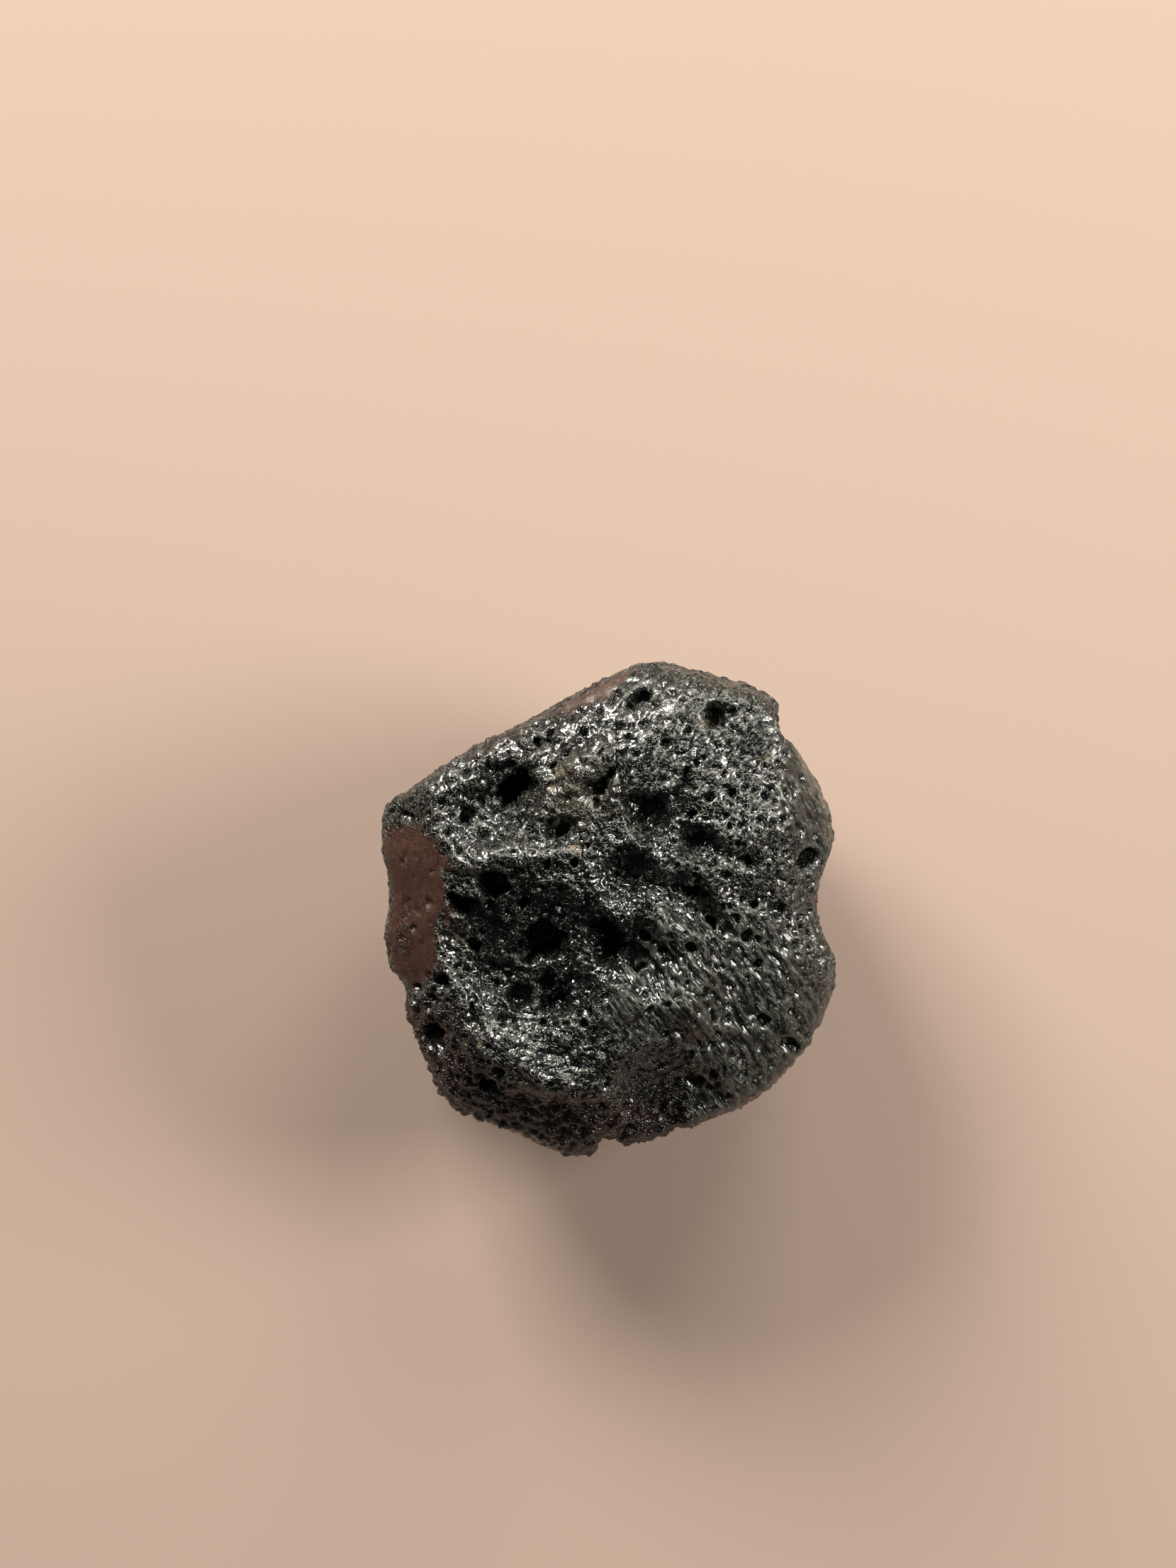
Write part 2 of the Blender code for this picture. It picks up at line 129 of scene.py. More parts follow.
# Hollows etched down into the top. Columns: deepest point (x, y), reach of the oval rim to its right, up,
# left and down, turn of the oval, depth, steepness of the wall (below 1 is steep at the rim, above 1 is
# shallow there)
HOLLOWS = [
    (-2.2, -1.8, 2.9, 2.7, 4.3, 3.5, 2, 1.15, 0.8),
    (-4.1, -0.6, 1.3, 1.2, 1.6, 1.6, 2, 0.35, 1.0),
    (-2.2, -2.6, 2.2, 1.6, 2.4, 1.5, 0, 0.3, 1.0),
    (-3.7, -2.0, 1.0, 0.7, 1.0, 0.8, 20, 0.30, 1.0),
    (-0.9, -2.6, 0.9, 0.6, 0.9, 0.7, 25, 0.3, 1.0),
    (0.05, -0.85, 0.6, 0.9, 0.6, 0.9, 35, 0.6, 0.9),
    (0.6, -1.1, 2.6, 1.0, 0.8, 1.1, -38, 0.7, 1.0),
    (-3.1, 3.3, 1.5, 1.3, 2.5, 1.3, 22, 0.9, 1.2),
    (-2.75, 3.85, 0.65, 0.45, 0.75, 0.7, 25, 1.0, 0.8),
    (-2.1, 5.05, 0.35, 0.25, 0.4, 0.3, 30, 0.4, 0.9),
    (1.9, 2.9, 1.7, 1.1, 1.5, 1.3, 0, 0.35, 1.3),
    (0.95, 2.8, 0.85, 0.9, 0.75, 0.95, 25, 0.7, 1.1),
    (2.7, 1.9, 0.9, 0.75, 0.85, 0.85, -32, 0.8, 1.1),
    (0.5, 1.0, 1.2, 1.0, 1.1, 1.0, 0, 0.75, 1.1),
    (2.3, 0.2, 2.0, 0.7, 1.6, 0.8, -32, 0.65, 1.1),
    (4.3, 0.6, 1.5, 0.5, 1.5, 0.5, -15, 0.25, 1.3),
    (3.9, 1.6, 0.8, 0.5, 0.9, 0.5, -20, 0.25, 1.2),
    (-1.4, 2.6, 0.7, 0.45, 0.6, 0.5, 30, 0.5, 1.2),
    (-0.1, 3.9, 0.9, 0.35, 0.9, 0.4, 35, 0.4, 1.2),
    (0.4, 6.3, 1.5, 0.6, 1.6, 0.7, 12, 0.2, 1.2),
    (0.95, 6.5, 0.6, 0.3, 0.55, 0.3, 22, 0.3, 0.9),
    (3.5, -2.9, 0.9, 0.5, 0.9, 0.5, -50, 0.25, 1.2),
    (-4.75, -4.1, 0.55, 1.2, 0.6, 1.3, 15, 0.6, 1.0),
    (1.5, -5.2, 2.2, 1.3, 1.6, 1.7, -8, 0.7, 0.9),
]

# Ridges left standing between the hollows, in the same columns, with a height in place of the depth
RIDGES = [
    (-3.0, 1.6, 2.4, 0.6, 2.2, 0.45, 2, 0.35, 1.2),
    (-0.5, 4.6, 1.2, 0.7, 1.2, 0.8, 50, 0.3, 1.2),
    (-1.9, -5.3, 2.0, 0.8, 1.9, 0.6, -4, 0.45, 1.2),
    (2.6, -2.8, 1.5, 1.2, 1.7, 1.0, -28, 0.6, 1.0),
]

# Chips and steps in the outline. Columns: middle of the chip (x, y, z), heading it faces, half of its
# width, half of its height, depth, steepness of the wall
CHIPS = [
    (5.75, 5.6, 5.5, 8, 0.75, 3.5, 0.4, 0.7),
    (6.9, 0.35, 4.8, 0, 1.9, 4.8, 0.68, 1.2),
    (0.0, -7.4, 5.3, -90, 0.6, 1.7, 0.55, 1.0),
    (2.1, -7.2, 5.3, -75, 0.4, 1.7, 0.14, 1.0),
    (-6.5, -2.5, 5.6, 200, 0.6, 2.4, 0.22, 1.0),
    (-2.35, 6.3, 5.2, 112, 0.5, 1.4, 0.18, 1.0),
    (-6.95, 0.5, 5.8, 180, 1.3, 2.8, 0.25, 1.0),
]

# Round pits in the top, left by gas bubbles. Columns: place (x, y), radius, depth
TOP_PITS = [
    (-2.05, -1.0, 0.72, 0.95),
    (-2.7, 3.85, 0.36, 0.45),
    (-3.5, 0.8, 0.50, 0.80),
    (-4.3, 0.15, 0.50, 0.75),
    (0.0, -0.5, 0.45, 0.60),
    (0.2, -0.95, 0.48, 0.60),
    (0.6, -1.4, 0.38, 0.50),
    (3.2, 6.0, 0.45, 0.60),
    (6.0, 1.5, 0.42, 0.80),
    (-1.6, -2.8, 0.42, 0.50),
    (-2.7, -2.65, 0.46, 0.50),
    (-5.25, -3.85, 0.50, 0.45),
    (-3.65, -5.5, 0.35, 0.30),
    (-4.1, -3.4, 0.28, 0.30),
    (-2.0, 5.1, 0.30, 0.35),
    (2.3, 3.95, 0.28, 0.35),
    (5.1, 0.0, 0.28, 0.30),
    (5.4, -4.2, 0.30, 0.25),
    (4.7, -3.4, 0.24, 0.25),
    (2.6, -5.3, 0.36, 0.20),
]

# Shallow scoops in the flanks. Columns: heading and elevation from the middle, radius, depth
FLANK_SCOOPS = [
    (-20.0, -24, 1.9, 0.45),
    (52.0, -12, 2.1, 0.55),
    (84.0, -40, 1.6, 0.50),
    (118.0, -10, 1.5, 0.40),
    (160.0, -34, 2.2, 0.55),
    (214.0, -14, 1.7, 0.45),
    (248.0, -42, 1.9, 0.50),
    (290.0, -18, 1.6, 0.50),
    (322.0, -40, 1.5, 0.40),
]
SCOOP_STEEPNESS = 1.3

# Pits on the flanks and underside, spread evenly by the golden angle, with sizes by the golden ratio: how
# many, their highest and lowest elevation, the smallest radius, and how far a radius can be above it
FLANK_PITS = 44
FLANK_PIT_HIGHEST = 12
FLANK_PIT_LOWEST = -58
FLANK_PIT_SMALLEST = 0.24
FLANK_PIT_SPREAD = 0.6
# Depth of such a pit, as a share of its radius
FLANK_PIT_DEPTH = 0.8
GOLDEN_ANGLE = 137.508
GOLDEN_RATIO = 1.618034
# Steepness of a pit's wall, as for the hollows
PIT_STEEPNESS = 0.7
# A pit takes in the skin up to this many radii above and below its seat
PIT_GRASP = 1.5
# How far a pit's rim strays from a circle, as a share of its area, and over what length it does, for the
# pits of the solid and for the small ones
PIT_UNEVENNESS = 0.7
PIT_UNEVENNESS_SIZE = 0.4
SMALL_PIT_UNEVENNESS_SIZE = 0.2

# The etched skin swells and sinks gently: size of the swells and how far they rise
SWELLS = [(2.6, 0.10), (1.3, 0.05)]
# The hollows' rims wander off their ovals: size of the bends and how far they stray
RIM_BENDS = [(1.4, 0.28), (0.5, 0.10)]

# Small pits seen in the photograph, too small for the solid. Columns: place (x, y), radius
SMALL_PITS = [
    (4.15, 6.68, 0.12), (4.65, 5.9, 0.12), (2.45, 4.2, 0.18), (2.15, 4.12, 0.15), (2.2, 3.72, 0.2),
    (2.7, 3.7, 0.13), (3.2, 3.55, 0.12), (3.8, 3.68, 0.17), (4.15, 4.75, 0.12), (3.65, 2.9, 0.12),
    (2.55, 2.9, 0.2), (4.7, 2.75, 0.13), (5.05, 2.6, 0.14), (5.4, 2.75, 0.15), (5.45, 2.0, 0.17),
    (4.0, 1.95, 0.15), (4.3, 1.5, 0.18), (3.2, 1.4, 0.18), (5.75, 3.85, 0.12), (3.0, 4.75, 0.1),
    (2.3, 4.85, 0.1), (2.6, 0.5, 0.3), (2.1, 0.6, 0.2), (1.3, 3.3, 0.18), (1.5, 2.6, 0.16),
    (2.7, 2.3, 0.16), (1.2, 2.5, 0.14), (-0.2, 4.85, 0.15), (4.5, 0.1, 0.15), (-3.7, 4.45, 0.22),
    (-1.8, 5.55, 0.15), (-3.05, 4.8, 0.12), (-4.6, 4.0, 0.1), (-4.45, 4.25, 0.12), (-6.3, 2.95, 0.15),
    (-4.36, 2.85, 0.28), (-3.85, 2.35, 0.2), (-4.95, 2.3, 0.15), (-3.3, 2.15, 0.18), (-5.55, 2.85, 0.15),
    (-2.4, 2.5, 0.2), (-3.1, 2.5, 0.15), (-1.4, 2.5, 0.2), (-1.3, 4.8, 0.15), (-1.7, 4.5, 0.15),
    (-0.2, 3.8, 0.3), (0.1, 4.15, 0.2), (-0.4, 3.3, 0.2), (-4.6, 1.7, 0.12), (-2.6, 0.15, 0.25),
    (-4.1, -1.25, 0.25), (-4.2, -3.3, 0.25), (-1.9, -2.4, 0.3), (-3.3, -3.5, 0.2), (-5.2, -2.3, 0.3),
    (-4.6, -1.9, 0.15), (-0.6, -3.3, 0.2), (3.1, -1.8, 0.12), (4.65, -1.8, 0.18), (4.3, -0.95, 0.2),
    (2.6, -1.25, 0.2), (3.05, -2.7, 0.2), (3.3, -3.4, 0.2), (5.65, -4.35, 0.2), (3.2, -0.5, 0.2),
    (5.9, -0.3, 0.15), (-6.35, 1.4, 0.08), (-5.45, 1.1, 0.08), (-6.1, 0.2, 0.08), (-6.0, -0.65, 0.12),
    (1.05, 6.6, 0.28), (0.75, 6.4, 0.2), (1.35, 6.45, 0.18), (-0.3, 6.1, 0.16), (-0.8, 5.5, 0.18),
    (0.25, 5.6, 0.15), (-1.2, 5.9, 0.12), (0.1, 6.5, 0.14),
]
# Depth of a small pit, as a share of its radius
SMALL_PIT_DEPTH = 1.5

# Where each kind of skin lies in the photograph, as soft ovals. Columns: middle (x, y), reach to the right,
# up, left and down, turn. What lies in none of them is etched.
KNOBBED = [
    (-2.2, -1.4, 3.2, 2.8, 3.1, 2.4, 2),
    (-0.1, -1.0, 1.1, 1.3, 1.1, 1.5, 20),
    (1.9, 2.8, 1.3, 0.9, 1.3, 1.0, 0),
    (0.7, 1.2, 2.2, 1.2, 1.6, 1.4, 0),
    (-0.9, 5.6, 1.4, 0.8, 1.5, 0.8, 28),
    (1.5, -5.2, 1.6, 1.2, 1.5, 1.5, -8),
]
LUMPY = [
    (-3.3, 3.5, 2.0, 1.9, 2.7, 1.7, 22),
    (-0.3, 4.0, 1.3, 1.2, 1.3, 1.3, 40),
]
BANDED = [(-1.7, -4.7, 2.6, 1.0, 2.3, 1.0, -4)]
STREAKED = [
    (3.2, -3.0, 4.2, 3.3, 3.4, 4.8, -30),
    (6.3, 3.2, 0.9, 2.4, 0.9, 2.0, 14),
]
BARE = [
    (-6.0, 0.2, 1.6, 2.6, 1.6, 3.1, 0),
    (-0.8, 7.05, 1.7, 0.7, 1.5, 1.0, 28),
]
BROKEN = [
    (-5.4, -4.6, 1.2, 1.9, 1.4, 2.4, 22),
    (-1.6, -6.9, 4.6, 1.0, 3.8, 1.6, 4),
]
# Dry soil left in a few recesses, and a thin film of it around. Columns: middle (x, y), radius, strength
SOIL = [
    (-1.75, 3.75, 0.35, 0.5),
    (-1.5, 4.15, 0.40, 0.4),
    (-1.0, 1.85, 0.30, 0.5),
    (-0.2, 4.9, 0.30, 0.4),
    (4.95, 4.65, 0.22, 0.6),
    (2.95, 5.75, 0.30, 0.5),
    (-4.5, -0.9, 0.45, 0.4),
    (-3.9, -4.25, 0.35, 0.5),
    (-0.9, 3.6, 2.2, 0.08),
]
# Soil lies in patches: sizes of the patches with their shares, and how thick the patchy cover is at the
# edge of a patch and inside it
SOIL_PATCHES = [(0.16, 0.3), (0.08, 0.5)]
SOIL_EDGE = (0.2, 0.45)
# Share of an oval's area over which a zone fades out, and the heights between which all zones fade in
ZONE_FADE = 0.4
ZONE_HEIGHTS = (2.6, 4.6)
# Zones wander off their ovals: size of the bends and how far they stray
ZONE_BENDS = [(1.1, 0.25), (0.4, 0.12), (0.15, 0.05)]

# How strongly each kind of skin has each pattern of the fine relief. Columns: height of its small knobs and
# large knobs, share of full depth of its bubble pits and pinholes, height of its crests and streaks
RELIEF = {
    "etched": (0.035, 0.06, 1.2, 1.4, 0.045, 0.006),
    "knobbed": (0.11, 0.12, 0.9, 0.6, 0.020, 0.0),
    "lumpy": (0.05, 0.22, 0.8, 0.6, 0.020, 0.0),
    "banded": (0.07, 0.20, 0.3, 0.4, 0.020, 0.0),
    "streaked": (0.01, 0.03, 0.7, 0.9, 0.010, 0.075),
    "broken": (0.09, 0.18, 0.5, 0.5, 0.040, 0.010),
    "bare": (0.004, 0.015, 0.25, 0.4, 0.010, 0.010),
}
# How much of each kind is frosted pale on its crests, partly by etching and partly as painted highlight, and
# how much of it takes a brown that is painted reflection of warm surroundings
FROST_AND_HIGHLIGHT_SHARE = {
    "etched": 1.0,
    "knobbed": 0.4,
    "lumpy": 0.9,
    "banded": 1.0,
    "streaked": 1.0,
    "broken": 0.1,
    "bare": 0.2,
}
# The brown is painted reflection of warm surroundings: the glass itself is black
PAINTED_REFLECTION_SHARE = {"broken": 0.2, "bare": 1.0}
# Only the leaning faces are bare: how much their normals rise, at the least and at the most
BARE_LEAST_RISE = (0.25, 0.50)
BARE_MOST_RISE = (0.70, 0.84)
# Smoothing rounds that tell crests from pits, how far a crest stands over the smoothed skin where it is
# fully frosted, which is partly painted highlight, and how far a pit lies under it where it has no frost
CREST_ROUNDS = 8
CREST_TOP = 0.018
CREST_FOOT = -0.006

# Size of the cell that holds one knob
SMALL_KNOB = 0.16
LARGE_KNOB = 0.34
# A knob's dome falls away over this share of its cell
KNOB_REACH = 0.65
# Bubble pits and pinholes: size of the cell that holds one, smallest radius, and how far a radius can be
# above it. Then their full depth as a share of the radius, and the steepness of their walls.
BUBBLES = (0.60, 0.06, 0.17)
PINHOLES = (0.32, 0.03, 0.10)
BUBBLE_DEPTH = 1.3
PINHOLE_DEPTH = 1.2
BUBBLE_STEEPNESS = 0.6
# Crests run where two sizes of noise pass through their middle value: sizes, and how high each lifts them
CRESTS = [(0.20, 2.0), (0.10, 1.0)]
# Streaks: where they head, how much longer than broad they are, their widths with their shares, and the
# size of their bends with how far they stray
STREAK_HEADING = -55.0
STREAK_STRETCH = 4.5
STREAK_WIDTHS = [(0.15, 1.0), (0.08, 0.6)]
STREAK_BENDS = (0.9, 0.12)

# The finished mesh: cells along each edge of its cube, and how far its points are drawn up to the top, which
# the photograph shows
CELLS = 128
LIFT = 0.4
# Directions that agree to one part in this many are the same point
MERGE_STEPS = 1e6

# Seeds of the noise and of the scattered patterns
SEEDS = {
    "swells": 11,
    "rim_bends": 21,
    "pit_rims": 41,
    "small_pit_rims": 42,
    "zone_bends": 61,
    "streak_bends": 71,
    "streaks": 72,
    "soil": 81,
    "small_knobs": 111,
    "large_knobs": 121,
    "bubbles": 131,
    "pinholes": 141,
    "crests": 151,
}
# Large whole numbers that mix a cell and a seed into a value, and masks that keep 32 and 24 bits of it
CELL_MIX = np.array([73856093, 19349663, 83492791])
SEED_MIX = 2654435761
FIRST_MIX = 1274126177
SECOND_MIX = 2246822519
MASK_32 = 0xFFFFFFFF
MASK_24 = 0xFFFFFF

GLOSSY_BLACK = "#060606"
# Grey frost on the etched crests and lines: partly the etched skin's own frost, partly painted highlight
# where crests catch light
FROST_AND_HIGHLIGHT_GREY = "#474a41"
# Brown of the bare and broken faces: painted reflection of warm surroundings, not the glass's own colour
PAINTED_REFLECTION_BROWN = "#240a02"
SOIL_TAN = "#6f614b"
FLOOR_COLOUR = "#78675e"
WARM_WHITE = "#fffbf0"
PLAIN_WHITE = "#ffffff"

# The studio's soft lights, square and turned to the stone. Columns: name, compass heading, elevation, watts
LIGHTS = [
    ("right_key", 10, 32, 0.86),
    ("upper_key", 70, 32, 0.42),
    ("left_key", 120, 32, 1.20),
]
LIGHT_DISTANCE = 190.0
LIGHT_SIDE = 80.0
# Strength of the even light from the room
ROOM_LIGHT = 0.05

# Natural glass bends light as window glass does
GLASS_IOR = 1.5
PIT_ROUGHNESS = 0.15
FROST_ROUGHNESS = 0.30
BARE_ROUGHNESS = 0.45
SOIL_ROUGHNESS = 0.8
FLOOR_ROUGHNESS = 0.9
FLOOR_HALF = 1000.0

# Crest lines and scratches too fine for the mesh. The real scratches are about 0.03 mm broad, and these are
# broader so that they show.
# Where frosted, these lines are drawn paler, which is partly painted highlight
GRAIN_SIZE = 0.13
SCRATCH_LENGTH = 0.42
SCRATCH_WIDTH = 0.048
GRAIN_HEIGHT = 0.02
# How many finer sizes the noise behind the lines has, its middle value, and half of a line's width as a
# share of its range
GRAIN_DETAIL = 1.0
NOISE_MIDDLE = 0.5
LINE_HALF_WIDTH = 0.065
# How much frost, partly painted highlight, lies between the scratches, and how much of the lines' height a
# bare face keeps
FROST_AND_HIGHLIGHT_BETWEEN_SCRATCHES = 0.12
BARE_BUMP = 0.4


def heading(azimuth, elevation):
    """Unit vector towards a compass heading and an elevation."""
    a = math.radians(azimuth)
    e = math.radians(elevation)
    return np.array([math.cos(a) * math.cos(e), math.sin(a) * math.cos(e), math.sin(e)])


def unit(vectors):
    """The same vectors at length 1."""
    return vectors / np.linalg.norm(vectors, axis=-1, keepdims=True)


def smooth_step(low, high, value):
    """0 below low, 1 above high, and an S-curve between them."""
    t = np.clip((value - low) / (high - low), 0, 1)
    return t * t * (3 - 2 * t)


def cube_sphere(cells):
    """Directions all round, and the quads between them.

    Each of the six sides of a cube is a grid over two angles u and v from -45 to 45 degrees. Its point
    (tan u, tan v) on a cube of half side 1, brought to length 1, is a direction. Points that two sides
    share are merged, so the surface is closed.
    """
    angles = np.tan(np.linspace(-np.pi / 4, np.pi / 4, cells + 1))
    u, v = np.meshgrid(angles, angles, indexing="ij")
    w = np.ones_like(u)
    sides = [(w, u, v), (-w, -u, v), (-u, w, v), (u, -w, v), (u, v, w), (-u, v, -w)]
    directions = unit(np.concatenate([np.stack(side, axis=-1).reshape(-1, 3) for side in sides]))
    index = np.arange((cells + 1) ** 2).reshape(cells + 1, cells + 1)
    corners = [index[:-1, :-1], index[1:, :-1], index[1:, 1:], index[:-1, 1:]]
    square = np.stack(corners, axis=-1).reshape(-1, 4)
    quads = np.concatenate([square + side * index.size for side in range(len(sides))])
    rounded = np.round(directions * MERGE_STEPS).astype(np.int64)
    _, first, merged = np.unique(rounded, axis=0, return_index=True, return_inverse=True)
    return directions[first], merged.reshape(-1)[quads]


def skin_normals(points, quads):
    """Outward unit normal at each point, averaged over the quads around it."""
    a, b, c, d = (points[quads[:, corner]] for corner in range(4))
    face = np.cross(c - a, d - b)
    corners = quads.reshape(-1)
    total = [np.bincount(corners, np.repeat(face[:, axis], 4), len(points)) for axis in range(3)]
    return unit(np.stack(total, axis=-1))


def breaks():
    """Outward normal of each flat break, and its distance from the middle."""
    faces = []
    for azimuth, reach, foot, top, lean_above, lean_below in SIDES:
        band = heading(azimuth, 0) * reach
        faces.append((heading(azimuth, 0), band))
        faces.append((heading(azimuth, lean_above), band + np.array([0, 0, top])))
        faces.append((heading(azimuth, lean_below), band + np.array([0, 0, foot])))
    for x, y, z, azimuth, tilt in TOPS:
        faces.append((heading(azimuth, 90 - tilt), np.array([x, y, z])))
    for azimuth, elevation, distance in UNDER_BREAKS:
        normal = heading(azimuth, elevation)
        faces.append((normal, MIDDLE + normal * distance))
    faces.append((np.array([0, 0, -1]), np.array([0, 0, -BASE_SINK])))
    normals = np.array([normal for normal, _ in faces])
    distances = np.array([(point - MIDDLE) @ normal for normal, point in faces])
    return normals, distances


def broken_lump(directions):
    """Skin points of the lump before etching, one along each direction from the middle.

    Each break alone would put the skin at distance / (normal . direction). The lump is where all the breaks
    meet: the nearest of them wins, and a power mean rounds the edge between two.
    """
    normals, distances = breaks()
    nearness = np.maximum(directions @ normals.T, 0) / distances
    radius = (nearness**EDGE_POWER).sum(axis=1) ** (-1 / EDGE_POWER)
    return MIDDLE + directions * radius[:, None]


def lattice_value(cells, seed):
    """A fixed number from 0 to 1 for each cell (i, j, k) of a cubic lattice, mixed from it and a seed."""
    mix = cells @ CELL_MIX + seed * SEED_MIX
    mix = ((mix ^ (mix >> 13)) * FIRST_MIX) & MASK_32
    mix = ((mix ^ (mix >> 16)) * SECOND_MIX) & MASK_32
    return ((mix ^ (mix >> 15)) & MASK_24) / MASK_24


def noise(points, size, seed):
    """Gentle random swells from -1 to 1: lattice values about one size apart, blended smoothly."""
    place = points / size
    corner = np.floor(place).astype(np.int64)
    share = place - corner
    share = share**3 * (share * (share * 6 - 15) + 10)
    total = np.zeros(len(points))
    for offset in np.ndindex(2, 2, 2):
        weight = np.where(offset, share, 1 - share).prod(axis=1)
        total += weight * lattice_value(corner + np.array(offset), seed)
    return 2 * total - 1


def scattered(points, size, seed):
    """Distance from each point to the nearest of the scattered spots, in cells, and that spot's own number.

    Space is cut into cubic cells of one size. Each cell holds one spot at a random place, with a number from
    0 to 1.
    """
    place = points / size
    home = np.floor(place).astype(np.int64)
    nearest = np.full(len(points), np.inf)
    own = np.zeros(len(points))
    for offset in np.ndindex(3, 3, 3):
        cell = home + np.array(offset) - 1
        seat = cell + np.stack([lattice_value(cell, seed + axis) for axis in range(3)], axis=-1)
        distance = np.linalg.norm(place - seat, axis=1)
        own = np.where(distance < nearest, lattice_value(cell, seed + 3), own)
        nearest = np.minimum(nearest, distance)
    return nearest, own


def swells(points):
    """Gentle rise and fall of the etched skin."""
    return sum(rise * noise(points, size, SEEDS["swells"] + n) for n, (size, rise) in enumerate(SWELLS))


def spent_share(x, y, feature):
    """How far plan points are from an oval's middle: 0 there, 1 on its rim, as a square.

    The oval is four quarter ellipses, so each side has a reach of its own.
    """
    middle_x, middle_y, right, up, left, down, turn = feature
    angle = math.radians(turn)
    across = (x - middle_x) * math.cos(angle) + (y - middle_y) * math.sin(angle)
    along = (y - middle_y) * math.cos(angle) - (x - middle_x) * math.sin(angle)
    reach_across = np.where(across > 0, right, left)
    reach_along = np.where(along > 0, up, down)
    return (across / reach_across) ** 2 + (along / reach_along) ** 2


def dish(x, y, feature):
    """Depth of a hollow, or height of a ridge, at plan points: full at its middle and 0 from its rim on."""
    *rim, depth, steepness = feature
    return depth * np.maximum(1 - spent_share(x, y, rim), 0) ** steepness


def chipped(points, chip):
    """Points after a chip is knocked out of the outline, pushed straight in from the way it faces."""
    x, y, z, azimuth, half_width, half_height, depth, steepness = chip
    outward = heading(azimuth, 0)
    sideways = heading(azimuth + 90, 0)
    offset = points - np.array([x, y, z])
    spent = (offset @ sideways / half_width) ** 2 + (offset[:, 2] / half_height) ** 2
    push = np.maximum(1 - spent, 0) ** steepness * depth
    on_this_side = points @ outward > 0
    return points - np.outer(push * on_this_side, outward)


def lower_of(a, b, blend):
    """The lower of two heights, rounded over where they are within the blend of each other."""
    share = np.clip(0.5 + 0.5 * (b - a) / blend, 0, 1)
    return b + (a - b) * share - blend * share * (1 - share)


def top_height(x, y):
    """Height of the top breaks at plan points, before etching."""
    faces = []
    for point_x, point_y, point_z, azimuth, tilt in TOPS:
        fall = heading(azimuth, 0) * math.tan(math.radians(tilt))
        faces.append(point_z - (x - point_x) * fall[0] - (y - point_y) * fall[1])
    height = faces[0]
    for face in faces[1:]:
        height = lower_of(height, face, TOP_EDGE)
    return height


def bent_plan(points, bends, seed):
    """Plan coordinates of points, led astray by a few sizes of noise."""
    plan = []
    for axis in (0, 1):
        first = seed + 10 * axis
        bent = sum(stray * noise(points, size, first + n) for n, (size, stray) in enumerate(bends))
        plan.append(points[:, axis] + bent)
    return plan


def hollowed(points):
    """Points after the hollows are etched down into the top, with the ridges left standing.

    A point keeps its place in plan. It drops to the etched top where it stands above it, so the upright
    breaks around the top stay flat up to the new edge.
    """
    x, y = bent_plan(points, RIM_BENDS, SEEDS["rim_bends"])
    drop = sum(dish(x, y, hollow) for hollow in HOLLOWS)
    rise = sum(dish(x, y, ridge) for ridge in RIDGES)
    top = top_height(points[:, 0], points[:, 1]) + swells(points)
    over = smooth_step(ETCHED_FROM, MIDDLE[2], points[:, 2])
    height = lower_of(points[:, 2] + rise * over, top - drop + rise, TOP_EDGE)
    return np.column_stack([points[:, :2], points[:, 2] + (height - points[:, 2]) * over])


def pitted(points, axis, uneven, seat, radius, depth, steepness=PIT_STEEPNESS):
    """Points after a pit is sunk along an axis at a seat in the skin, its rim made a little uneven."""
    offset = points - points[seat]
    along_axis = offset @ axis
    spent = ((offset**2).sum(axis=1) - along_axis**2) / radius**2 * (1 + uneven)
    near = np.abs(along_axis) < PIT_GRASP * radius
    drop = np.where(near, np.maximum(1 - spent, 0) ** steepness, 0) * depth
    return points - np.outer(drop, axis)


def top_seat(points, x, y):
    """The skin point that is nearest to a place in plan, on the upper half."""
    below = points[:, 2] < TOP_FROM
    return int(np.argmin(np.hypot(points[:, 0] - x, points[:, 1] - y) + below * LENGTH))


def as_seen(points):
    """Points with the x and y at which the camera sees them, which are the photograph's at the girth.

    A higher point is seen further out, by the camera's height over the girth, divided by its height over the
    point.
    """
    nearer = (CAMERA_HEIGHT - GIRTH_HEIGHT) / (CAMERA_HEIGHT - points[:, 2])
    x = CAMERA_X + (points[:, 0] - CAMERA_X) * nearer
    y = CAMERA_Y + (points[:, 1] - CAMERA_Y) * nearer
    return np.column_stack([x, y, points[:, 2]])


def flank_pits():
    """Direction from the middle, radius and depth of each pit on the flanks and underside."""
    low = math.sin(math.radians(FLANK_PIT_LOWEST))
    high = math.sin(math.radians(FLANK_PIT_HIGHEST))
    for n in range(FLANK_PITS):
        elevation = math.degrees(math.asin(high + (low - high) * (n + 0.5) / FLANK_PITS))
        radius = FLANK_PIT_SMALLEST + FLANK_PIT_SPREAD * (n * GOLDEN_RATIO % 1) ** 2
        yield heading(n * GOLDEN_ANGLE, elevation), radius, FLANK_PIT_DEPTH * radius


def seat_along(points, direction):
    """The skin point that lies along a direction from the middle."""
    return int(np.argmax(unit(points - MIDDLE) @ direction))


